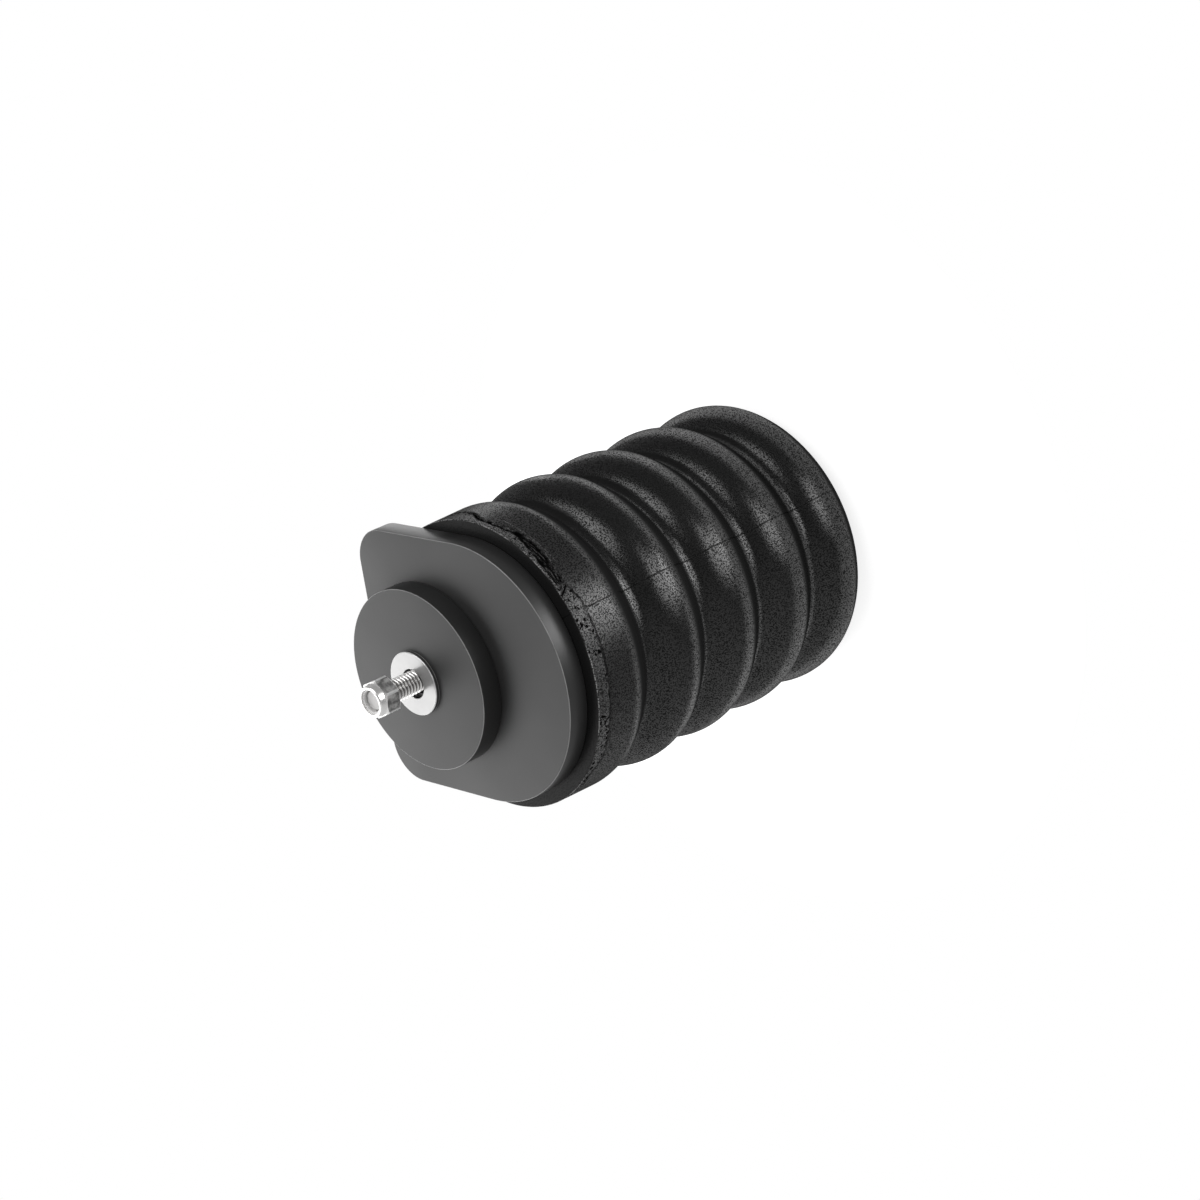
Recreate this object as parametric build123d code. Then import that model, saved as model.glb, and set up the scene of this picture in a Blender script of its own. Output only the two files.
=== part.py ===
"""Helper spring: a lobed foam body bolted under a D-shaped spacer plate and a round spacer disc.

Millimetres, +Z up. The spring stands on its free end. The origin is the centre of that end's face,
on the axis of the lobed body. The mounting bolt runs up beside that axis, towards the plate's flat side.
"""
from build123d import *
import os
from math import atan2, degrees, hypot, sqrt

# Lobed foam body
body_height = 160.0
lobe_count = 5
lobe_pitch = 32.5
lobe_radius = 62.0
lobe_arc = 15.5
valley_arc = 5.0
free_end_arc = 11.0
mount_lobe_radius = 60.8
mount_end_radius = 60.3

# Mounting bolt, 3/8 inch coarse
bolt_offset_x = -22.4
bolt_offset_y = -3.0
bolt_diameter = 9.5
bolt_length = 63.5
bolt_tip_chamfer = 1.0
head_flats = 14.3
head_height = 6.0
hole_clearance = 1.6

# Bore for a socket wrench from the free end, and the pocket for the bolt's head at its end
socket_bore_diameter = 34.0
clamped_foam = 19.8
pocket_clearance = 0.8
head_cover = 2.2

# Spacers
disc_diameter = 76.2
disc_thickness = 9.5
plate_arc_radius = 54.3
plate_flat_distance = 57.3
plate_corner_radius = 15.2
plate_thickness = 9.5
spacer_edge_break = 0.5

# Washers
load_washer_diameter = 31.8
load_washer_thickness = 1.8
flat_washer_diameter = 26.8
flat_washer_hole = 12.4
flat_washer_thickness = 2.0
flat_washer_shift_x = -0.5
flat_washer_shift_y = -0.9
washer_edge_round = 0.3

# Lock nut with a nylon ring in its collar
nut_flats = 14.3
nut_hex_height = 7.0
nut_collar_height = 2.7
nut_collar_base_radius = 6.75
nut_collar_lip_radius = 6.65
nut_collar_mouth_radius = 5.2
nut_lip_height = 0.8
nut_thread_clearance = 0.05
nut_tip_recess = 2.0
nut_turn = 23.7
insert_radius = 5.7
insert_height = 2.4

# Positions up the stack
plate_base = body_height
disc_base = plate_base + plate_thickness
disc_face = disc_base + disc_thickness
foam_shoulder = body_height - clamped_foam
head_seat = foam_shoulder - load_washer_thickness
pocket_mouth = head_seat - head_height - head_cover
bolt_tip = head_seat + bolt_length
nut_height = nut_hex_height + nut_collar_height
nut_base = bolt_tip + nut_tip_recess - nut_height
clear_hole_radius = bolt_diameter / 2 + hole_clearance / 2

# A cylinder with this alignment stands on its place, as Pos and on_bolt_axis give it
STANDING = (Align.CENTER, Align.CENTER, Align.MIN)


def on_bolt_axis(z):
    """Place on the bolt's axis at height z."""
    return Pos(bolt_offset_x, bolt_offset_y, z)


def valley_centre(lower, upper):
    """Centre of the valley arc that touches the crest arcs about the two given centres from outside."""
    reach = lobe_arc + valley_arc
    span = hypot(upper[0] - lower[0], upper[1] - lower[1])
    middle = ((lower[0] + upper[0]) / 2, (lower[1] + upper[1]) / 2)
    rise = sqrt(reach**2 - (span / 2) ** 2)
    outward = ((upper[1] - lower[1]) / span, (lower[0] - upper[0]) / span)
    return (middle[0] + rise * outward[0], middle[1] + rise * outward[1])


def direction(start, end):
    """Angle in degrees from one point of the profile to another."""
    return degrees(atan2(end[1] - start[1], end[0] - start[0]))


def body_outline():
    """Half section of the body: radius across, height up, from the free end to the mounting end."""
    crests = []
    for index in range(lobe_count):
        radius = mount_lobe_radius if index == lobe_count - 1 else lobe_radius
        crests.append((radius - lobe_arc, free_end_arc + index * lobe_pitch))
    valleys = [valley_centre(lower, upper) for lower, upper in zip(crests, crests[1:])]

    foot_radius = lobe_radius - free_end_arc
    outline = [Line((0, 0), (foot_radius, 0))]
    outline.append(CenterArc((foot_radius, free_end_arc), free_end_arc, -90, 90))
    angle = 0.0
    for crest, valley, following in zip(crests, valleys, crests[1:]):
        turn = direction(crest, valley)
        outline.append(CenterArc(crest, lobe_arc, angle, turn - angle))
        start = direction(valley, crest) % 360
        end = direction(valley, following) % 360
        outline.append(CenterArc(valley, valley_arc, start, end - start))
        angle = direction(following, valley)
    taper = direction((mount_lobe_radius, crests[-1][1]), (mount_end_radius, body_height)) - 90
    last = crests[-1]
    outline.append(CenterArc(last, lobe_arc, angle, taper - angle))
    outline.append(Line(outline[-1] @ 1, (mount_end_radius, body_height)))
    outline.append(Line((mount_end_radius, body_height), (0, body_height)))
    outline.append(Line((0, body_height), (0, 0)))
    return outline


def spring_body():
    """One moulded foam piece. Beside its axis: the socket bore, the pocket at its end and the clear hole."""
    body = revolve(Plane.XZ * make_face(Curve() + body_outline()), Axis.Z)
    body -= on_bolt_axis(0) * Cylinder(socket_bore_diameter / 2, pocket_mouth, align=STANDING)
    pocket_radius = (load_washer_diameter + pocket_clearance) / 2
    body -= on_bolt_axis(0) * Cylinder(pocket_radius, foam_shoulder, align=STANDING)
    return body - on_bolt_axis(0) * Cylinder(clear_hole_radius, body_height, align=STANDING)


def break_rims(blank, thickness, amount):
    """Chamfer the outer rims of a flat blank that lies from z = 0 to its thickness."""
    rims = blank.edges().filter_by_position(Axis.Z, thickness, thickness)
    rims += blank.edges().filter_by_position(Axis.Z, 0, 0)
    return chamfer(rims, amount)


def spacer_plate():
    """D-shaped plate: a half round that runs into straight sides and a flat end with round corners."""
    outline = Circle(plate_arc_radius)
    outline += Rectangle(plate_flat_distance, 2 * plate_arc_radius, align=(Align.MAX, Align.CENTER))
    outline = fillet(outline.vertices().group_by(Axis.X)[0], plate_corner_radius)
    blank = break_rims(extrude(outline, plate_thickness), plate_thickness, spacer_edge_break)
    plate = Pos(0, 0, plate_base) * blank
    return plate - on_bolt_axis(plate_base) * Cylinder(clear_hole_radius, plate_thickness, align=STANDING)


def spacer_disc():
    """Round spacer on the plate, centred on the bolt."""
    blank = break_rims(extrude(Circle(disc_diameter / 2), disc_thickness), disc_thickness, spacer_edge_break)
    disc = on_bolt_axis(disc_base) * blank
    return disc - on_bolt_axis(disc_base) * Cylinder(clear_hole_radius, disc_thickness, align=STANDING)


def washer(diameter, hole_radius, thickness):
    """Flat washer that lies from z = 0, with its upper outer edge rounded by the stamping."""
    blank = Cylinder(diameter / 2, thickness, align=STANDING)
    blank = fillet(blank.edges().group_by(Axis.Z)[-1], washer_edge_round)
    return blank - Cylinder(hole_radius, thickness, align=STANDING)


def load_washer():
    """Wide washer that spreads the bolt's pull over the shoulder in the foam."""
    return on_bolt_axis(head_seat) * washer(load_washer_diameter, clear_hole_radius, load_washer_thickness)


def flat_washer():
    """Loose washer that lies on the disc, pushed to one side of the bolt."""
    loose = washer(flat_washer_diameter, flat_washer_hole / 2, flat_washer_thickness)
    return on_bolt_axis(disc_face) * Pos(flat_washer_shift_x, flat_washer_shift_y, 0) * loose


def hexagon(flats, height, sides):
    """Hexagonal prism from z = 0 with 30 degree chamfers on the given ends, 0 low and -1 high."""
    prism = extrude(RegularPolygon(flats / 2, 6, major_radius=False), height)
    corner_radius = flats / sqrt(3)
    envelope = Cylinder(corner_radius, height, align=STANDING)
    run = corner_radius - 0.48 * flats
    for side in sides:
        envelope = chamfer(envelope.edges().filter_by(GeomType.CIRCLE).group_by(Axis.Z)[side], run / sqrt(3), run)
    return prism & envelope


def mounting_bolt():
    """Hex bolt, head down in the socket bore, thread end up through the spacers."""
    shank = Cylinder(bolt_diameter / 2, bolt_length, align=STANDING)
    shank = chamfer(shank.edges().group_by(Axis.Z)[-1], bolt_tip_chamfer)
    head = Pos(0, 0, -head_height) * hexagon(head_flats, head_height, [0])
    return on_bolt_axis(head_seat) * (shank + head)


def insert_seat():
    """Height of the nylon ring's foot, under the collar's lip."""
    return nut_base + nut_height - nut_lip_height - insert_height


def lock_nut():
    """Hexagon with a tapered collar whose rolled lip holds the nylon ring."""
    body = Rot(0, 0, nut_turn) * hexagon(nut_flats, nut_hex_height, [0, -1])
    lip_round = nut_lip_height
    collar = [
        Line((0, nut_hex_height), (nut_collar_base_radius, nut_hex_height)),
        Line((nut_collar_base_radius, nut_hex_height), (nut_collar_lip_radius, nut_height - lip_round)),
        RadiusArc((nut_collar_lip_radius, nut_height - lip_round),
                  (nut_collar_lip_radius - lip_round, nut_height), -lip_round),
        Line((nut_collar_lip_radius - lip_round, nut_height), (0, nut_height)),
        Line((0, nut_height), (0, nut_hex_height)),
    ]
    body += revolve(Plane.XZ * make_face(Curve() + collar), Axis.Z)
    nut = on_bolt_axis(nut_base) * body
    thread_radius = bolt_diameter / 2 + nut_thread_clearance
    nut -= on_bolt_axis(nut_base) * Cylinder(thread_radius, nut_height, align=STANDING)
    nut -= on_bolt_axis(insert_seat()) * Cylinder(insert_radius, insert_height, align=STANDING)
    mouth = nut_base + nut_height - nut_lip_height
    return nut - on_bolt_axis(mouth) * Cylinder(nut_collar_mouth_radius, nut_lip_height, align=STANDING)


def nut_insert():
    """Nylon ring in the collar, which grips the bolt's thread."""
    ring = Cylinder(insert_radius, insert_height, align=STANDING)
    ring -= Cylinder(bolt_diameter / 2 + nut_thread_clearance, insert_height, align=STANDING)
    return on_bolt_axis(insert_seat()) * ring


pieces = {
    "spring_body": spring_body(),
    "spacer_plate": spacer_plate(),
    "spacer_disc": spacer_disc(),
    "mounting_bolt": mounting_bolt(),
    "load_washer": load_washer(),
    "flat_washer": flat_washer(),
    "lock_nut": lock_nut(),
    "nut_insert": nut_insert(),
}

os.makedirs("parts", exist_ok=True)
for name, shape in pieces.items():
    export_step(shape, f"parts/{name}.step")
    print(name, round(shape.volume), "mm3")
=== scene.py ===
"""Looks of the helper spring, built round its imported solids.

Metres in Blender, millimetres in the sizes below. The spring stands on its free end, its axis is the
Z axis, and the bolt stands beside that axis.
"""
import math

import bmesh
import bpy
from mathutils import Matrix, Vector


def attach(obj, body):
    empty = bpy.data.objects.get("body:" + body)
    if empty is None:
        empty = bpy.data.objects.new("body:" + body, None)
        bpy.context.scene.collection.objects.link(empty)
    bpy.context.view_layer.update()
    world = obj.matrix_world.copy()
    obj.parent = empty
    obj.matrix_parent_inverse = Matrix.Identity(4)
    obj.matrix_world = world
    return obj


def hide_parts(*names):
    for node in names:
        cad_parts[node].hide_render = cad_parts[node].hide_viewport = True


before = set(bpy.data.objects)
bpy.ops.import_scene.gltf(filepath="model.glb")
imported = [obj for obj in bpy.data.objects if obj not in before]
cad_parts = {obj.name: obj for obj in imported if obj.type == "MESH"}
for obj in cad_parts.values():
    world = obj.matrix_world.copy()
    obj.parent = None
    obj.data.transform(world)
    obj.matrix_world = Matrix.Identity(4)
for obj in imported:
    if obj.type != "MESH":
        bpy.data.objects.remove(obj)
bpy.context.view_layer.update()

MM = 0.001

# Foam body
body_height = 160.0
lobe_count = 5
lobe_pitch = 32.5
lobe_radius = 62.0
lobe_arc = 15.5
valley_arc = 5.0
free_end_arc = 11.0
mount_lobe_radius = 60.8
mount_end_radius = 60.3
mount_edge_round = 0.5
socket_bore_radius = 17.0
pocket_radius = 16.3
pocket_mouth = 130.2
foam_shoulder = 140.2
parting_angle = 29.1
shaded_valley_radius = 55.3
shaded_valley_span = (72.0, 130.0)

# Band at the mounting end where the moulded foam was trimmed: the height of its ragged edge at some
# angles. Here as above and below, angles are in degrees about the axis.
band_edge = (
    (-180, 154.4), (-90, 155.0), (-40, 156.6), (-33, 154.3), (-13, 154.0), (24, 152.6), (33, 152.8),
    (43, 154.7), (57, 153.0), (67, 153.2), (71, 155.1), (81, 156.0), (87, 155.3), (93, 152.5),
    (111, 150.9), (140, 152.6), (180, 154.4),
)
band_low = 148.0
smeared_span = (-8.0, 14.0)
upper_pits_span = (12.0, 40.0)
lower_pits_span = (-44.0, -14.0)

# Damage in the band
carve_depth = 1.3
tear_span = (42.0, 75.0)
tear_lip_height = 158.7
tear_lip_bend = 50.0
tear_lip_fall = 0.17
crack_span = (67.0, 132.0)
nick_angle = 35.8
nick_lean = 0.7
nick_foot = 154.0
slit_span = (-62.0, -43.0)
slit_height = 157.8
ridge_span = (52.0, 74.0)
ridge_height = 151.9

# Bolt, washers and holes
bolt_x = -22.4
bolt_y = -3.0
bolt_radius = 4.75
shank_radius = 4.7
thread_pitch = 1.5875
thread_depth = 0.95
thread_roundness = 0.8
thread_foot = 146.0
bolt_tip = 201.9
tip_chamfer = 1.0
clear_hole_radius = 5.55
head_seat = 138.4
head_height = 6.0
head_flats = 14.3
load_washer_radius = 15.9
load_washer_thickness = 1.8
flat_washer_radius = 13.4
flat_washer_hole = 6.2
flat_washer_thickness = 2.0
flat_washer_shift = (-0.5, -0.9)
washer_edge_round = 0.35
washer_edge_drop = 0.45
washer_hole_break = 0.15

# Spacers
plate_base = 160.0
plate_thickness = 9.5
plate_arc_radius = 54.3
plate_flat_distance = 57.3
plate_corner_radius = 15.2
disc_base = 169.5
disc_thickness = 9.5
disc_radius = 38.1
spacer_edge_round = 0.45

# Lock nut
nut_base = 194.2
nut_flats = 14.3
nut_turn = 23.7
nut_hex_height = 7.0
nut_height = 9.7
nut_corner_round = 0.35
nut_hole_radius = 4.8
nut_hole_chamfer = 0.85
collar_base_radius = 6.95
collar_lip_radius = 6.5
collar_mouth_radius = 5.2
collar_lip_height = 0.8
collar_roll = 0.2
collar_crown = 0.8
insert_radius = 5.7
insert_height = 2.4
insert_grip = 0.25

# Camera: its place, its axes and its lens, as the photograph shows the spring
camera_place = (764.64, 360.70, 796.48)
camera_right = (0.70406, -0.14453, -0.69527)
camera_down = (0.13329, -0.93477, 0.32929)
focal_pixels = 2685.1
photo_pixels = 1200
sensor_width = 36.0

# Studio: a small round table, a white sweep behind and below the object, and a dim room in front of it.
# The lamps are aimed at a point on the axis.
table_radius = 170.0
table_glow = 0.8
room_level = 0.18
below_level = 0.36
under_level = 0.15
behind_level = 0.15
lamp_distance = 800.0
lamp_aim_height = 100.0


class Term:
    """A socket that takes part in Python arithmetic. Each sign adds a Math node to the socket's tree."""

    def __init__(self, board, socket):
        self.board = board
        self.socket = socket

    def __add__(self, other):
        return self.board.maths("ADD", self, other)

    def __sub__(self, other):
        return self.board.maths("SUBTRACT", self, other)

    def __rsub__(self, other):
        return self.board.maths("SUBTRACT", other, self)

    def __mul__(self, other):
        return self.board.maths("MULTIPLY", self, other)

    __radd__ = __add__
    __rmul__ = __mul__


class Board:
    """Adds nodes to one tree, for a material, for the world or for geometry."""

    def __init__(self, tree):
        self.tree = tree

    def node(self, kind, settings=None, *inputs, **values):
        """A new node. Its settings come first, then its sockets in their order or by name, _ for a space."""
        made = self.tree.nodes.new(kind)
        for name, value in (settings or {}).items():
            setattr(made, name, value)
        for socket, value in zip(made.inputs, inputs):
            self.feed(socket, value)
        for name, value in values.items():
            self.feed(made.inputs[name.replace("_", " ")], value)
        return made

    def feed(self, socket, value):
        if isinstance(value, Term):
            value = value.socket
        if isinstance(value, bpy.types.NodeSocket):
            self.tree.links.new(value, socket)
        else:
            socket.default_value = value

    def out(self, made, name=0):
        return Term(self, made.outputs[name])

    def maths(self, operation, *inputs):
        return self.out(self.node("ShaderNodeMath", {"operation": operation}, *inputs))

    def most(self, *masks):
        """The highest of several masks."""
        top = masks[0]
        for mask in masks[1:]:
            top = self.maths("MAXIMUM", top, mask)
        return top

    def step(self, value, low, high):
        """0 where the value is under low, 1 where it is over high, smooth between."""
        smooth = {"interpolation_type": "SMOOTHSTEP"}
        return self.out(self.node("ShaderNodeMapRange", smooth, Value=value, From_Min=low, From_Max=high))

    def near(self, value, centre, reach, soft):
        """1 within reach of the centre, and 0 further than reach plus soft."""
        distance = self.maths("ABSOLUTE", value - centre)
        return 1.0 - self.step(distance, reach, reach + soft)

    def window(self, value, low, high, soft):
        """1 between low and high, and 0 further out than the soft margin."""
        return self.step(value, low - soft, low) * (1.0 - self.step(value, high, high + soft))

    def ramp(self, value, stops):
        """A smooth curve through a few (place, height) stops, with places from 0 to 1."""
        made = self.node("ShaderNodeFloatCurve", Value=value)
        curve = made.mapping.curves[0]
        for place, height in stops[1:-1]:
            curve.points.new(place, height)
        curve.points[0].location = stops[0]
        curve.points[-1].location = stops[-1]
        made.mapping.update()
        return self.out(made)

    def noise(self, vector, scale, detail=2.0, roughness=0.5):
        return self.out(self.node("ShaderNodeTexNoise", Vector=vector, Scale=scale, Detail=detail,
                                  Roughness=roughness))

    def cells(self, vector, scale):
        """Distance to the nearest cell's centre, in cells, and that cell's own lot from 0 to 1."""
        made = self.node("ShaderNodeTexVoronoi", Vector=vector, Scale=scale)
        lot = self.node("ShaderNodeSeparateColor", Color=made.outputs["Color"])
        return self.out(made, "Distance"), self.out(lot, "Red")


class Surface(Board):
    """A material made of one Principled shader."""

    def __init__(self, name):
        self.material = bpy.data.materials.new(name)
        self.material.use_nodes = True
        super().__init__(self.material.node_tree)
        self.shader = self.tree.nodes["Principled BSDF"]
        self.place = self.node("ShaderNodeTexCoord").outputs["Object"]
        axes = self.node("ShaderNodeSeparateXYZ", Vector=self.place)
        self.x, self.y, self.z = (self.out(axes, axis) * (1 / MM) for axis in "XYZ")

    def set(self, **values):
        for name, value in values.items():
            self.feed(self.shader.inputs[name.replace("_", " ")], value)

    def blend(self, mask, first, second):
        """A colour that goes from first to second with the mask.

        The Mix node keeps sockets for each type, of which 6 and 7 take colours and 2 gives one.
        """
        made = self.node("ShaderNodeMix", {"data_type": "RGBA"}, mask)
        self.feed(made.inputs[6], first)
        self.feed(made.inputs[7], second)
        return self.out(made, 2)

    def relief(self, height, depth):
        """Bump of the given height field, whose value of 1 stands depth millimetres high."""
        return self.out(self.node("ShaderNodeBump", Strength=1.0, Distance=depth * MM, Height=height))

    def mix_over(self, mask, other):
        """Show another shader in place of the material's own where the mask is 1."""
        made = self.node("ShaderNodeMixShader", None, mask, self.shader.outputs[0], other.outputs[0])
        self.feed(self.tree.nodes["Material Output"].inputs["Surface"], made.outputs[0])

    def distance_from(self, x, y):
        """Millimetres from the upright line through (x, y)."""
        across, along = self.x - x, self.y - y
        return self.maths("SQRT", across * across + along * along)

    def upward(self):
        """How far the surface faces up, from -1 to 1."""
        geometry = self.node("ShaderNodeNewGeometry")
        return self.out(self.node("ShaderNodeSeparateXYZ", Vector=geometry.outputs["Normal"]), "Z")


def grey(value, warm=0.0):
    return (value * (1 + warm), value, value * (1 - warm), 1.0)


# Profiles and loops

def arc_points(centre, radius, start, end, step):
    """Points on an arc, with angles in degrees and about the given step between them."""
    count = max(2, math.ceil(abs(end - start) / step))
    angles = [math.radians(start + (end - start) * i / count) for i in range(count + 1)]
    return [(centre[0] + radius * math.cos(a), centre[1] + radius * math.sin(a)) for a in angles]


def quarter_round(steps):
    """Shares (inward, down) of a rounded edge at each step, from the side wall up to the face."""
    angles = [math.pi / 2 * i / steps for i in range(steps + 1)]
    return [(1 - math.cos(a), 1 - math.sin(a)) for a in angles]


def direction(start, end):
    return math.degrees(math.atan2(end[1] - start[1], end[0] - start[0]))


def valley_centre(lower, upper):
    """Centre of the valley arc that touches two crest arcs from outside."""
    reach = lobe_arc + valley_arc
    span = math.dist(lower, upper)
    middle = ((lower[0] + upper[0]) / 2, (lower[1] + upper[1]) / 2)
    rise = math.sqrt(reach**2 - (span / 2) ** 2)
    return (
        middle[0] + rise * (upper[1] - lower[1]) / span,
        middle[1] + rise * (lower[0] - upper[0]) / span,
    )


def lobed_side():
    """Half section of the lobed side, as (radius, height), from the free end up to the mounting end."""
    crest_step, valley_step, foot_step, rim_step = 5, 11, 8, 30
    band_rows = 26
    crests = []
    for index in range(lobe_count):
        radius = mount_lobe_radius if index == lobe_count - 1 else lobe_radius
        crests.append((radius - lobe_arc, free_end_arc + index * lobe_pitch))
    valleys = [valley_centre(lower, upper) for lower, upper in zip(crests, crests[1:])]
    points = arc_points((lobe_radius - free_end_arc, free_end_arc), free_end_arc, -90, 0, foot_step)
    angle = 0.0
    for crest, valley, following in zip(crests, valleys, crests[1:]):
        turn = direction(crest, valley)
        points += arc_points(crest, lobe_arc, angle, turn, crest_step)[1:]
        start = direction(valley, crest) % 360
        end = direction(valley, following) % 360
        points += arc_points(valley, valley_arc, start, end, valley_step)[1:]
        angle = direction(following, valley)
    points += arc_points(crests[-1], lobe_arc, angle, 0, crest_step)[1:]
    foot = points[-1][1]
    edge = body_height - mount_edge_round
    for row in range(1, band_rows + 1):
        share = row / band_rows
        radius = mount_lobe_radius + (mount_end_radius - mount_lobe_radius) * share
        points.append((radius, foot + (edge - foot) * share))
    inner = (mount_end_radius - mount_edge_round, edge)
    return points + arc_points(inner, mount_edge_round, 0, 90, rim_step)[1:]


def body_section():
    """Closed half section as (radius, share of the bolt's offset, height) in millimetres."""
    face_rows, bore_rows = 6, 4
    foot = lobe_radius - free_end_arc
    top = mount_end_radius - mount_edge_round
    points = []
    for i in range(face_rows):
        share = i / face_rows
        points.append((socket_bore_radius + (foot - socket_bore_radius) * share, 1 - share, 0.0))
    points += [(radius, 0.0, height) for radius, height in lobed_side()]
    for i in range(1, face_rows + 1):
        share = i / face_rows
        points.append((top + (clear_hole_radius - top) * share, share, body_height))
    points += [(clear_hole_radius, 1.0, foam_shoulder), (pocket_radius, 1.0, foam_shoulder)]
    points += [(pocket_radius, 1.0, pocket_mouth), (socket_bore_radius, 1.0, pocket_mouth)]
    for i in range(1, bore_rows + 1):
        points.append((socket_bore_radius, 1.0, pocket_mouth * (1 - i / bore_rows)))
    return points


def circle(radius, height, angles, centre=(0.0, 0.0)):
    x, y = centre
    return [Vector((x + radius * math.cos(a), y + radius * math.sin(a), height)) for a in angles]


def full_turn(count):
    return [2 * math.pi * i / count for i in range(count)]


def skin(name, loops, closed=True, place=(0.0, 0.0)):
    """Mesh object between successive loops of equal length, in millimetres, moved to its place."""
    mesh = bmesh.new()
    rows = [[mesh.verts.new(((p.x + place[0]) * MM, (p.y + place[1]) * MM, p.z * MM)) for p in loop]
            for loop in loops]
    pairs = list(zip(rows, rows[1:]))
    if closed:
        pairs.append((rows[-1], rows[0]))
    count = len(rows[0])
    for lower, upper in pairs:
        for i in range(count):
            j = (i + 1) % count
            mesh.faces.new((lower[i], lower[j], upper[j], upper[i]))
    if not closed:
        mesh.faces.new(rows[0][::-1])
        mesh.faces.new(rows[-1])
    return finish_mesh(name, mesh)


def finish_mesh(name, mesh):
    """Object of a mesh whose doubled points are joined and whose edges over 35 degrees stay sharp."""
    bmesh.ops.remove_doubles(mesh, verts=mesh.verts, dist=1e-6)
    bmesh.ops.recalc_face_normals(mesh, faces=mesh.faces)
    data = bpy.data.meshes.new(name)
    mesh.to_mesh(data)
    mesh.free()
    data.shade_smooth()
    data.set_sharp_from_angle(angle=math.radians(35.0))
    made = bpy.data.objects.new(name, data)
    bpy.context.scene.collection.objects.link(made)
    return made


def dress(piece, material, slot, *nodes):
    """Give a finished piece its material and body, and hide the solids that it stands for. Its slot is not
    used.
    """
    piece.data.materials.clear()
    piece.data.materials.append(material)
    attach(piece, "root")
    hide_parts(*nodes)


# Foam body

def trimmed_end(board, place, x, y, z):
    """Masks of the trimmed end: its band, the groove behind it, the tear, the cracks and the ridge.

    The board is a material's or the body's own tree, so that the carved shape and its finish agree.
    """
    turn = board.maths("ARCTAN2", y, x) * (180.0 / math.pi)
    ragged = (board.noise(place, 330.0, 3.0, 0.6) - 0.5) * 1.8
    span = body_height - band_low
    stops = [((angle + 180) / 360, (height - band_low) / span) for angle, height in band_edge]
    edge = band_low + span * board.ramp(board.maths("DIVIDE", turn + 180.0, 360.0), stops)
    past = z - edge + ragged
    side = 1.0 - board.step(z, body_height - 0.7, body_height - 0.2)
    band = board.step(past, 0.0, 0.4) * side
    broken = board.step(board.noise(place, 260.0, 3.0, 0.7), 0.34, 0.56)
    groove = board.near(past, 0.1, 0.15, 0.55) * side * (0.35 + 0.65 * broken)

    lip = tear_lip_height - tear_lip_fall * board.most(turn - tear_lip_bend, 0.0)
    under_lip = 1.0 - board.step(z + ragged * 0.4, lip - 0.6, lip)
    tear = board.window(turn, *tear_span, 3.0) * board.window(past, 0.0, 9.0, 0.4) * under_lip * side
    split = board.window(turn, *crack_span, 5.0) * board.near(past, 0.1, 0.4, 0.4) * side
    nick_path = turn - nick_angle - (body_height - z) * nick_lean + ragged * 0.5
    nick = board.near(nick_path, 0.0, 0.2, 0.35) * board.step(z, nick_foot, nick_foot + 0.8) * side
    slit = board.window(turn, *slit_span, 4.0) * board.near(z + ragged * 0.5, slit_height, 0.2, 0.3)
    ridge = board.window(turn, *ridge_span, 4.0) * board.near(z + ragged * 0.3, ridge_height, 0.12, 0.3)
    return {"turn": turn, "band": band, "groove": groove, "tear": tear,
            "crack": board.most(split, nick, slit), "ridge": ridge}


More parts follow.
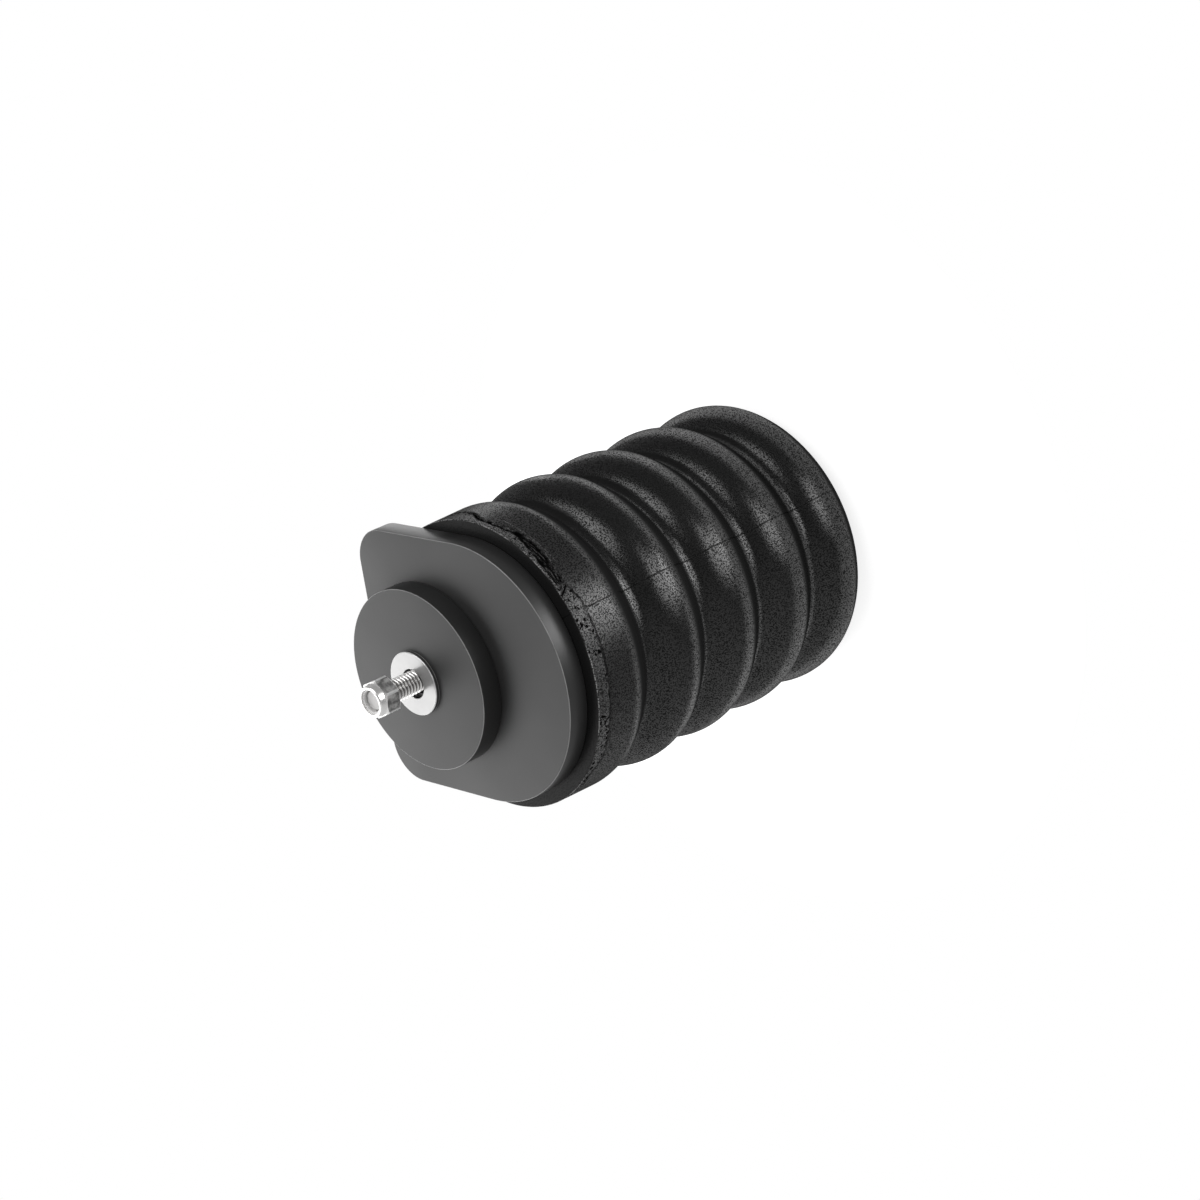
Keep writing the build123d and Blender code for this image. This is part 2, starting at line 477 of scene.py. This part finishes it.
def body_tree():
    """Geometry nodes that turn a half section round the axis, its bore round the bolt's axis.

    Carve Depth is how deep the tear at the trimmed end goes, with the cracks and the groove in its share.
    """
    tree = bpy.data.node_groups.new("turned body", "GeometryNodeTree")
    face = tree.interface
    face.new_socket("Section", in_out="INPUT", socket_type="NodeSocketGeometry")
    face.new_socket("Segments", in_out="INPUT", socket_type="NodeSocketInt")
    for name in ("Bolt X", "Bolt Y", "Carve Depth"):
        face.new_socket(name, in_out="INPUT", socket_type="NodeSocketFloat")
    face.new_socket("Material", in_out="INPUT", socket_type="NodeSocketMaterial")
    face.new_socket("Body", in_out="OUTPUT", socket_type="NodeSocketGeometry")

    board = Board(tree)
    given = board.node("NodeGroupInput")
    section = given.outputs["Section"]
    rows = board.out(board.node("GeometryNodeAttributeDomainSize", Geometry=section), "Point Count")
    columns = board.out(given, "Segments") + 1.0
    grid = board.node("GeometryNodeMeshGrid", Size_X=1.0, Size_Y=1.0, Vertices_X=columns, Vertices_Y=rows)
    position = board.node("GeometryNodeInputPosition").outputs[0]
    spot = board.node("ShaderNodeSeparateXYZ", Vector=position)
    turn = (board.out(spot, "X") + 0.5) * (2 * math.pi)
    row = board.maths("ROUND", (board.out(spot, "Y") + 0.5) * (rows - 1.0))
    sample = board.node("GeometryNodeSampleIndex", {"data_type": "FLOAT_VECTOR", "domain": "POINT"},
                        Geometry=section, Value=position, Index=row)
    ring = board.node("ShaderNodeSeparateXYZ", Vector=sample.outputs[0])
    radius, shift, height = (board.out(ring, axis) for axis in "XYZ")
    across, along = board.maths("COSINE", turn), board.maths("SINE", turn)

    outside = board.node("ShaderNodeCombineXYZ", X=radius * across, Y=radius * along, Z=height)
    end = trimmed_end(board, outside.outputs[0], across, along, height * (1 / MM))
    lumps = board.noise(outside.outputs[0], 420.0, 2.0, 0.6)
    wall = board.step(radius * (1 / MM), mount_end_radius - 1.3, mount_end_radius - 0.3)
    carve = board.most(end["tear"] * (0.35 + 1.1 * lumps), end["crack"] * 0.75, end["groove"] * 0.3) * wall
    carved = radius - carve * board.out(given, "Carve Depth")
    x = carved * across + shift * board.out(given, "Bolt X")
    y = carved * along + shift * board.out(given, "Bolt Y")
    place = board.node("ShaderNodeCombineXYZ", X=x, Y=y, Z=height)
    moved = board.node("GeometryNodeSetPosition", Geometry=grid.outputs["Mesh"], Position=place.outputs[0])
    whole = board.node("GeometryNodeMergeByDistance", Geometry=moved.outputs[0], Distance=1e-6)
    plain = board.node("GeometryNodeRealizeInstances", Geometry=whole.outputs[0])
    painted = board.node("GeometryNodeSetMaterial", Geometry=plain.outputs[0],
                         Material=given.outputs["Material"])
    board.node("NodeGroupOutput", Body=painted.outputs[0])
    return tree


def grown(name, seed_points, tree, **inputs):
    """Run a geometry tree on some points and keep its result as a plain mesh object."""
    seed = bpy.data.meshes.new(name + " seed")
    seed.from_pydata(seed_points, [], [])
    carrier = bpy.data.objects.new(name + " carrier", seed)
    bpy.context.scene.collection.objects.link(carrier)
    modifier = carrier.modifiers.new("tree", "NODES")
    modifier.node_group = tree
    names = {item.name: item.identifier for item in tree.interface.items_tree if item.in_out == "INPUT"}
    for label, value in inputs.items():
        modifier[names[label.replace("_", " ")]] = value
    bpy.context.view_layer.update()
    graph = bpy.context.evaluated_depsgraph_get()
    data = bpy.data.meshes.new_from_object(carrier.evaluated_get(graph))
    carrier.modifiers.clear()
    bpy.data.objects.remove(carrier)
    mesh = bmesh.new()
    mesh.from_mesh(data)
    return finish_mesh(name, mesh)


def parting_line(foam):
    """Mask of the mould's parting line, which wanders a little and fades in places."""
    heading = math.radians(parting_angle)
    wander = (foam.noise(foam.place, 140.0, 3.0) - 0.5) * 1.2
    off_plane = foam.x * math.sin(heading) - foam.y * math.cos(heading) + wander
    shown = foam.step(foam.noise(foam.place, 90.0, 2.0), 0.3, 0.45)
    return foam.near(off_plane, 0.0, 0.08, 0.25) * shown


def foam_pits(foam, end):
    """Mask of the open pits in the trimmed band, which crowd together in two stretches of it."""
    warp = foam.node("ShaderNodeTexNoise", Vector=foam.place, Scale=500.0)
    bent = foam.node("ShaderNodeVectorMath", {"operation": "MULTIPLY_ADD"},
                     warp.outputs["Color"], (0.003, 0.003, 0.003), foam.place)
    distance, lot = foam.cells(bent.outputs[0], 470.0)
    upper = foam.window(end["turn"], *upper_pits_span, 6.0)
    lower = foam.window(end["turn"], *lower_pits_span, 5.0)
    chosen = foam.maths("LESS_THAN", lot, 0.15 + 0.45 * upper + 0.6 * lower)
    round_pits = foam.near(distance, 0.0, 0.24 + 0.08 * lower, 0.14)
    return round_pits * chosen * end["band"] * (1.0 - end["tear"])


def foam_dust(foam):
    """Mask of a few pale specks."""
    distance, lot = foam.cells(foam.place, 60.0)
    return foam.near(distance, 0.0, 0.014, 0.012) * foam.maths("LESS_THAN", lot, 0.12)


def foam_dullness(foam, turn):
    """How far the gloss is lost: at a slant, in shaded valleys, underneath, in pores and on the end face."""
    slant = foam.out(foam.node("ShaderNodeLayerWeight", Blend=0.5), "Facing")
    grazing = foam.step(slant, 0.5, 0.95) * 0.85
    out = foam.distance_from(0.0, 0.0)
    valley_floor = 1.0 - foam.step(out, shaded_valley_radius, shaded_valley_radius + 1.0)
    shaded_valley = valley_floor * foam.window(turn, *shaded_valley_span, 12.0) * 0.7
    # Painted shade: surfaces that face down lose their gloss and stay dark.
    underside_painted_shade = (1.0 - foam.step(foam.upward(), -0.38, -0.1)) * 0.95
    pores = foam.step(foam.noise(foam.place, 1800.0, 1.0, 0.6), 0.48, 0.56) * 0.92
    end_face = foam.step(foam.z, body_height - 0.12, body_height - 0.02) * 0.8
    return foam.most(grazing, shaded_valley, underside_painted_shade, pores, end_face)


def foam_skin():
    """Moulded skin: fine grain, the mould's parting line, and the pitted, torn band at the trimmed end.

    A second, matt shader takes over in openings, which are painted black as shade in their depths,
    and where the gloss is lost.
    """
    foam = Surface("foam skin")
    end = trimmed_end(foam, foam.place, foam.x, foam.y, foam.z)
    band, tear = end["band"], end["tear"]
    pits, parting, dust = foam_pits(foam, end), parting_line(foam), foam_dust(foam)
    fibre_place = foam.node("ShaderNodeCombineXYZ", X=end["turn"] * 0.2, Y=foam.z * 1.5)
    fibres = foam.noise(fibre_place.outputs[0], 1.0, 3.0, 0.65)

    grain = foam.noise(foam.place, 1500.0, 2.0, 0.7) - 0.5
    coarse = foam.noise(foam.place, 420.0, 2.0, 0.5) - 0.5
    swell = foam.noise(foam.place, 22.0, 2.0)
    height = grain * (0.045 + 0.2 * band) + coarse * 0.4 * band + fibres * tear * 0.9 + swell * 0.15
    height = height - pits * 0.5 - parting * 0.22 - end["groove"] * 0.3 + end["ridge"] * 0.3
    normal = foam.relief(height, 1.0)

    fresh = band * (1.0 - 0.75 * foam.window(end["turn"], *smeared_span, 9.0))
    # Painted highlight: a pale line in patches along the rounded outer edge of the end face.
    glint_patches = foam.step(foam.noise(foam.place, 45.0, 2.0), 0.42, 0.5)
    painted_edge_glint = foam.near(foam.z, body_height - 0.28, 0.16, 0.08) * glint_patches
    colour = foam.blend(fresh, grey(0.005), grey(0.06))
    colour = foam.blend(painted_edge_glint, colour, grey(0.2))
    colour = foam.blend(dust, colour, grey(0.6))
    rougher = foam.step(foam.z, 125.0, 150.0) + band
    foam.set(Base_Color=colour, Roughness=0.26 + 0.08 * rougher, Specular_IOR_Level=0.62, Normal=normal)

    # Painted shade: the tear's gaps, pits, cracks, groove and parting line are black and lose their gloss.
    fibre_gaps = tear * (1.0 - 0.75 * foam.step(fibres, 0.5, 0.62))
    openings = foam.most(pits, end["crack"], fibre_gaps, end["groove"] * 0.6, parting * 0.6)
    matt_and_painted_shade_colour = foam.blend(openings, grey(0.0105), grey(0.002))
    matt = foam.node("ShaderNodeBsdfPrincipled", Base_Color=matt_and_painted_shade_colour, Roughness=1.0,
                     Specular_IOR_Level=0.0, Normal=normal)
    foam.mix_over(foam.most(openings, foam_dullness(foam, end["turn"]) * (1.0 - dust)), matt)
    return foam.material


def foam_body():
    points = [(r * MM, shift, h * MM) for r, shift, h in body_section()]
    material = foam_skin()
    body = grown("foam_body", points, body_tree(), Segments=512, Bolt_X=bolt_x * MM, Bolt_Y=bolt_y * MM,
                 Carve_Depth=carve_depth * MM, Material=material)
    dress(body, material, "foam", "spring_body")


# Spacers

def spacer_plastic():
    """Satin plastic, cloudy in its gloss, with painted highlights on its rims and paler straight sides."""
    plastic = Surface("spacer plastic")
    cloud = plastic.noise(plastic.place, 40.0, 3.0)
    fine = plastic.noise(plastic.place, 1500.0, 2.0)
    # Painted highlight: a pale line along the rounded rim of each face, broken up by noise.
    rim, flat = 0.0, 0.0
    for face in (plate_base + plate_thickness, disc_base + disc_thickness):
        rim = rim + plastic.near(plastic.z, face - 0.17, 0.11, 0.05)
        flat = flat + plastic.near(plastic.z, face, 0.02, 0.04)
    rim = rim * (0.4 + 0.6 * plastic.noise(plastic.place, 120.0, 2.0))
    # The straight sides are paler: partly their saw-cut finish, partly painted light on the upper one.
    sideways = plastic.maths("ABSOLUTE", plastic.y)
    beside = plastic.step(sideways, plate_arc_radius - 0.4, plate_arc_radius - 0.1)
    sawn_and_painted_light = beside * (1.0 - plastic.step(plastic.x, -16.0, -8.0))
    colour = plastic.blend(sawn_and_painted_light, grey(0.022), grey(0.06))
    plastic.set(Base_Color=plastic.blend(rim, colour, grey(0.3)), Roughness=0.33 + 0.1 * cloud + 0.13 * flat,
                Specular_IOR_Level=0.45, Normal=plastic.relief(fine, 0.01))
    return plastic.material


def plate_outline(inset):
    """D-shaped loop about the body's axis: round side, straight sides, round corners and a flat end."""
    arc_step, corner_step, straight = 2, 5, 12
    arc = plate_arc_radius - inset
    flat = plate_flat_distance - inset
    corner = plate_corner_radius - inset
    corner_x = corner - flat
    loop = arc_points((0, 0), arc, -90, 90, arc_step)
    for i in range(1, straight):
        loop.append((corner_x * i / straight, arc))
    loop += arc_points((corner_x, arc - corner), corner, 90, 180, corner_step)
    for i in range(1, straight):
        loop.append((-flat, (arc - corner) * (1 - 2 * i / straight)))
    loop += arc_points((corner_x, corner - arc), corner, 180, 270, corner_step)
    for i in range(1, straight):
        loop.append((corner_x * (1 - i / straight), -arc))
    return [Vector((x, y, 0)) for x, y in loop]


def disc_outline(inset):
    return circle(disc_radius - inset, 0, full_turn(180), (bolt_x, bolt_y))


def blank_loops(outline, base, thickness):
    """Loops of a flat spacer with rounded rims, from the bolt hole's foot round to its mouth."""
    edge, top = spacer_edge_round, base + thickness
    angles = [math.atan2(p.y - bolt_y, p.x - bolt_x) for p in outline(0)]
    rims = [(edge * down, base + edge * inward) for inward, down in quarter_round(4)]
    rims += [(edge * inward, top - edge * down) for inward, down in quarter_round(4)]
    loops = [circle(clear_hole_radius, base, angles, (bolt_x, bolt_y))]
    loops += [[p + Vector((0, 0, height)) for p in outline(inset)] for inset, height in rims]
    return loops + [circle(clear_hole_radius, top, angles, (bolt_x, bolt_y))]


# Hardware

def washer_zinc():
    """Bright zinc, faintly cloudy: painted highlight on the rolled rim, painted shade on the sheared wall.
    """
    zinc = Surface("washer zinc")
    cloud = zinc.noise(zinc.place, 160.0, 3.0)
    fine = zinc.noise(zinc.place, 1600.0, 2.0)
    face = disc_base + disc_thickness + flat_washer_thickness
    # Painted shade: the sheared wall below the rim is dark.
    wall = zinc.window(zinc.z, face - 1.5, face - 0.5, 0.1)
    # Painted highlight: a pale line on the rolled rim.
    rim = zinc.window(zinc.z, face - 0.4, face - 0.08, 0.05)
    colour = zinc.blend(cloud, grey(0.35, 0.005), grey(0.43, 0.005))
    colour = zinc.blend(rim, colour, grey(0.8))
    zinc.set(Base_Color=zinc.blend(wall, colour, grey(0.1)), Metallic=0.5,
             Roughness=0.16 + 0.06 * cloud + 0.08 * fine)
    return zinc.material


def nut_zinc():
    """Zinc of the nut: smooth and bright on its turned collar, dull and mottled on the rolled flats."""
    zinc = Surface("nut zinc")
    out = zinc.distance_from(bolt_x, bolt_y)
    sideways = 1.0 - zinc.step(zinc.maths("ABSOLUTE", zinc.upward()), 0.15, 0.35)
    flats = zinc.step(out, collar_base_radius, collar_base_radius + 0.1) * sideways
    # The hexagon's corners and lower chamfer are pale: partly worn bright metal, partly a painted highlight.
    corners = zinc.step(out, nut_flats / 2 + 0.7, nut_flats / 2 + 0.85)
    foot = 1.0 - zinc.step(zinc.z, nut_base + 0.5, nut_base + 0.7)
    edges = zinc.most(corners, foot)
    mottle = zinc.step(zinc.noise(zinc.place, 420.0, 3.0, 0.6), 0.36, 0.66)
    colour = zinc.blend(flats, grey(0.86, 0.01), zinc.blend(mottle, grey(0.2, 0.01), grey(0.6, 0.01)))
    zinc.set(Base_Color=zinc.blend(edges, colour, grey(0.85)), Metallic=0.7 - 0.2 * zinc.most(flats, edges),
             Roughness=0.17 + 0.06 * mottle + 0.2 * flats, Normal=zinc.relief(mottle * flats, 0.03))
    return zinc.material


def bolt_zinc():
    """Zinc of the bolt: painted shade in the thread's roots, and rough where its end was sheared."""
    zinc = Surface("bolt zinc")
    out = zinc.distance_from(bolt_x, bolt_y)
    # Painted shade: the thread's roots are dark.
    root = 1.0 - zinc.step(out, bolt_radius - 0.9 * thread_depth, bolt_radius - 0.35 * thread_depth)
    end = zinc.step(zinc.z, bolt_tip - 0.1, bolt_tip - 0.02)
    cloud = zinc.noise(zinc.place, 300.0, 3.0)
    colour = zinc.blend(root * (1.0 - end), grey(0.78, 0.01), grey(0.16, 0.03))
    zinc.set(Base_Color=zinc.blend(end, colour, grey(0.42, 0.01)), Metallic=0.9 - 0.6 * end,
             Roughness=0.2 + 0.1 * cloud + 0.2 * end)
    return zinc.material


def nylon():
    """White nylon of the nut's ring, faintly cloudy."""
    ring = Surface("nylon")
    cloud = ring.noise(ring.place, 500.0, 2.0)
    ring.set(Base_Color=ring.blend(cloud, grey(0.78, 0.01), grey(0.86, 0.01)), Roughness=0.4,
             Normal=ring.relief(cloud, 0.02))
    return ring.material


def washer(name, radius, hole, base, thickness, shift=(0.0, 0.0)):
    """Washer with a rolled upper rim and a small bevel round its lower rim and its hole."""
    turn = full_turn(96)
    top = base + thickness
    bevel = washer_edge_round / 3
    loops = [circle(hole, base, turn), circle(radius - bevel, base, turn)]
    loops.append(circle(radius, base + bevel, turn))
    for inward, down in quarter_round(8):
        loops.append(circle(radius - washer_edge_round * inward, top - washer_edge_drop * down, turn))
    loops += [circle(hole + washer_hole_break, top, turn), circle(hole, top - washer_hole_break, turn)]
    return skin(name, loops, place=(bolt_x + shift[0], bolt_y + shift[1]))


def hexagon_loop(flats, turned):
    """Points of a hexagon with slightly rounded corners, one of them turned so many degrees from +X."""
    per_side = 8
    sixth = math.pi / 3
    apothem = flats / 2
    half = (apothem - nut_corner_round) * math.tan(sixth / 2)
    points = []
    for side in range(6):
        middle = sixth * (side + 0.5) + math.radians(turned)
        normal = Vector((math.cos(middle), math.sin(middle)))
        along = Vector((-normal.y, normal.x))
        for i in range(per_side + 1):
            points.append(normal * apothem + along * half * (2 * i / per_side - 1))
        centre = Vector((math.cos(middle + sixth / 2), math.sin(middle + sixth / 2)))
        centre *= (apothem - nut_corner_round) / math.cos(sixth / 2)
        for i in (1, 2, 3):
            a = middle + sixth * i / 4
            points.append(centre + nut_corner_round * Vector((math.cos(a), math.sin(a))))
    return points


def hexagon_skin(flats, turned, low, high, chamfered_low, chamfered_high):
    """Loops of a hexagonal band with 30 degree chamfers, from its low inner circle to its high one."""
    outline = hexagon_loop(flats, turned)
    bearing = 0.48 * flats
    slope = math.tan(math.radians(30))

    def end_face(height, outward, chamfered):
        """The rim of an end face, chamfered outside its bearing circle, and the loop on that circle."""
        rim, inner = [], []
        for p in outline:
            chamfer = max(0.0, p.length - bearing) * slope * chamfered
            rim.append(Vector((p.x, p.y, height - outward * chamfer)))
            inner.append((p.normalized() * min(bearing, p.length)).to_3d() + Vector((0, 0, height)))
        return rim, inner

    low_rim, low_inner = end_face(low, -1, chamfered_low)
    high_rim, high_inner = end_face(high, 1, chamfered_high)
    return [low_inner, low_rim, high_rim, high_inner]


def nut_loops():
    """Loops of the nut, from its lower hole's mouth over the hexagon and collar to the ring's seat."""
    top = nut_base + nut_height
    lip_foot = top - collar_lip_height
    seat = lip_foot - insert_height
    band = hexagon_skin(nut_flats, nut_turn, nut_base, nut_base + nut_hex_height, 1, 1)
    angles = [math.atan2(p.y, p.x) for p in band[0]]
    rings = [(collar_base_radius, nut_base + nut_hex_height)]
    for inward, down in quarter_round(8):
        rings.append((collar_lip_radius - collar_crown * inward, top - collar_crown * down))
    for inward, down in quarter_round(4):
        rings.append((collar_mouth_radius + collar_roll * down, top - collar_roll * inward))
    rings += [(collar_mouth_radius, lip_foot), (insert_radius, lip_foot), (insert_radius, seat)]
    rings += [(nut_hole_radius, seat), (nut_hole_radius, nut_base + nut_hole_chamfer)]
    loops = [circle(nut_hole_radius + nut_hole_chamfer, nut_base, angles)] + band
    return loops + [circle(radius, height, angles) for radius, height in rings]


def insert_loops():
    """Loops of the nylon ring, which reaches a little way into the bolt's thread."""
    turn = full_turn(64)
    top = nut_base + nut_height - collar_lip_height
    foot = top - insert_height
    inner = bolt_radius - insert_grip
    return [circle(inner, foot, turn), circle(insert_radius, foot, turn), circle(insert_radius, top, turn),
            circle(bolt_radius, top, turn), circle(inner, top - insert_grip, turn)]


def thread_profile(points):
    """Shares (rise in one pitch, cut in the thread's depth) of a rounded thread form."""
    waves = [(i / points, 0.5 - 0.5 * math.cos(2 * math.pi * i / points)) for i in range(points + 1)]
    return [(rise, wave ** thread_roundness) for rise, wave in waves]


def threaded_shank():
    """Closed mesh of the thread: its rounded profile swept up the helix and cut by the tip's chamfer."""
    profile = thread_profile(14)
    around = 72
    turns = math.ceil((bolt_tip - thread_foot) / thread_pitch) + 1
    mesh = bmesh.new()
    columns = []
    for i in range(turns * around + 1):
        angle = 2 * math.pi * i / around
        column = []
        for rise, cut in profile:
            height = thread_foot + thread_pitch * (i / around - 1 + rise)
            depth = thread_depth * cut if height > thread_foot else thread_depth
            height = min(max(height, thread_foot), bolt_tip)
            chamfer = max(0.0, height - (bolt_tip - tip_chamfer))
            radius = bolt_radius - max(depth, chamfer)
            column.append(mesh.verts.new((radius * math.cos(angle), radius * math.sin(angle), height)))
        columns.append(column)
    for left, right in zip(columns, columns[1:]):
        for j in range(len(profile) - 1):
            mesh.faces.new((left[j], right[j], right[j + 1], left[j + 1]))
    bmesh.ops.remove_doubles(mesh, verts=mesh.verts, dist=1e-4)
    for height in (thread_foot, bolt_tip):
        ring = [v for v in mesh.verts if abs(v.co.z - height) < 1e-4]
        ring.sort(key=lambda v: math.atan2(v.co.y, v.co.x))
        mesh.faces.new(ring)
    place = Matrix.Translation(Vector((bolt_x, bolt_y, 0)) * MM) @ Matrix.Scale(MM, 4)
    bmesh.ops.transform(mesh, matrix=place, verts=mesh.verts)
    return finish_mesh("bolt_thread", mesh)


def bolt():
    """Bolt of three closed parts: the thread, the plain shank below it and the head."""
    turn = full_turn(48)
    plain = [circle(shank_radius, head_seat, turn), circle(shank_radius, thread_foot, turn)]
    head = hexagon_skin(head_flats, 0.0, head_seat - head_height, head_seat, 1, 0)
    parts = [threaded_shank(), skin("bolt_shank", plain, closed=False, place=(bolt_x, bolt_y)),
             skin("bolt_head", head, closed=False, place=(bolt_x, bolt_y))]
    mesh = bmesh.new()
    for part in parts:
        mesh.from_mesh(part.data)
        bpy.data.objects.remove(part)
    return finish_mesh("threaded_bolt", mesh)


foam_body()
plastic = spacer_plastic()
dress(skin("d_plate", blank_loops(plate_outline, plate_base, plate_thickness)), plastic,
      "spacer_plastic", "spacer_plate")
dress(skin("round_disc", blank_loops(disc_outline, disc_base, disc_thickness)), plastic,
      "spacer_plastic", "spacer_disc")
dress(bolt(), bolt_zinc(), "zinc_steel", "mounting_bolt")
bright_zinc = washer_zinc()
dress(washer("head_washer", load_washer_radius, clear_hole_radius, head_seat, load_washer_thickness),
      bright_zinc, "zinc_steel", "load_washer")
dress(washer("loose_washer", flat_washer_radius, flat_washer_hole, disc_base + disc_thickness,
             flat_washer_thickness, flat_washer_shift), bright_zinc, "zinc_steel", "flat_washer")
dress(skin("collared_nut", nut_loops(), place=(bolt_x, bolt_y)), nut_zinc(), "zinc_steel", "lock_nut")
dress(skin("nylon_ring", insert_loops(), place=(bolt_x, bolt_y)), nylon(), "nylon", "nut_insert")


# Camera, floor and light

def place_camera():
    data = bpy.data.cameras.new("camera")
    data.sensor_width = sensor_width
    data.lens = focal_pixels / photo_pixels * sensor_width
    data.clip_end = 20.0
    camera = bpy.data.objects.new("camera", data)
    right, down = Vector(camera_right), Vector(camera_down)
    back = right.cross(-down)
    turn = Matrix((right, -down, back)).transposed().to_4x4()
    camera.matrix_world = Matrix.Translation(Vector(camera_place) * MM) @ turn
    bpy.context.scene.collection.objects.link(camera)
    bpy.context.scene.camera = camera


def photo_direction(across, up, towards):
    """Unit vector from the photograph's own directions: right, up, and towards the camera."""
    right, down = Vector(camera_right), Vector(camera_down)
    return (right * across - down * up + right.cross(-down) * towards).normalized()


def seen_directly(board):
    """1 for what the camera, gloss and glass see, and 0 for light that only falls on things."""
    path = board.node("ShaderNodeLightPath")
    return board.most(*(board.out(path, f"Is {kind} Ray") for kind in ("Camera", "Glossy", "Transmission")))


def lay_floor():
    """Round white table top that keeps a faint shadow and melts into the white studio at its rim."""
    mesh = bmesh.new()
    bmesh.ops.create_circle(mesh, cap_ends=True, segments=96, radius=table_radius * MM)
    data = bpy.data.meshes.new("table top")
    mesh.to_mesh(data)
    mesh.free()
    floor = bpy.data.objects.new("table top", data)
    bpy.context.scene.collection.objects.link(floor)
    white = Surface("table white")
    rim = white.step(white.distance_from(0.0, 0.0), table_radius * 0.5, table_radius * 0.95)
    glow = table_glow + (1.0 - table_glow) * rim
    white.set(Base_Color=grey(0.5), Roughness=1.0, Specular_IOR_Level=0.0, Emission_Strength=1.0,
              Emission_Color=white.blend(glow * seen_directly(white), grey(0.0), grey(1.0)))
    data.materials.append(white.material)


def set_world():
    """White sweep below and behind the object, as the photograph has it, and a dim room in front."""
    world = bpy.data.worlds.new("studio")
    world.use_nodes = True
    bpy.context.scene.world = world
    board = Board(world.node_tree)
    looking = board.node("ShaderNodeTexCoord").outputs["Generated"]

    def towards(*aim):
        """How far a direction of view leans towards a direction of the photograph, from -1 to 1."""
        made = board.node("ShaderNodeVectorMath", {"operation": "DOT_PRODUCT"},
                          looking, tuple(photo_direction(*aim)))
        return board.out(made, "Value")

    down = towards(0, -1, 0)
    below = below_level * board.step(down, 0.1, 0.6) + under_level * board.step(down, 0.65, 0.9)
    behind = behind_level * board.step(towards(0, 0.2, -1), 0.2, 0.95)
    camera = board.out(board.node("ShaderNodeLightPath"), "Is Camera Ray")
    backdrop = board.step(towards(0, 0, -1), 0.8, 0.95) * seen_directly(board)
    background = board.tree.nodes["Background"]
    board.feed(background.inputs["Color"], grey(1.0))
    board.feed(background.inputs["Strength"], board.most(room_level + below + behind, backdrop, camera))


def hang_lamp(name, turn, rise, size, radiance):
    """Softbox that faces the object, turned to the camera's right and raised by degrees.

    Its size is in metres.
    """
    turn, rise = math.radians(turn), math.radians(rise)
    aim = photo_direction(math.sin(turn) * math.cos(rise), math.sin(rise), math.cos(turn) * math.cos(rise))
    data = bpy.data.lights.new(name, "AREA")
    data.shape = "RECTANGLE"
    data.size, data.size_y = size
    data.energy = radiance * math.pi * size[0] * size[1]
    lamp = bpy.data.objects.new(name, data)
    lamp.location = Vector((0, 0, lamp_aim_height * MM)) + aim * (lamp_distance * MM)
    upright = photo_direction(0, 1, 0)
    across = upright.cross(aim).normalized()
    lamp.rotation_mode = "QUATERNION"
    lamp.rotation_quaternion = Matrix((across, aim.cross(across), aim)).transposed().to_quaternion()
    lamp.visible_camera = False
    bpy.context.scene.collection.objects.link(lamp)


place_camera()
lay_floor()
set_world()
hang_lamp("right softbox", 43, 21, (0.61, 0.47), 3.9)
hang_lamp("low strip", 72, 28, (0.26, 0.36), 6.5)
hang_lamp("left softbox", -50, 26, (0.65, 0.37), 3.5)
hang_lamp("back panel", -117, -24, (1.25, 1.1), 2.3)
hang_lamp("upper back panel", -169, 35, (0.24, 0.22), 2.4)
bpy.context.scene.view_settings.view_transform = "Standard"
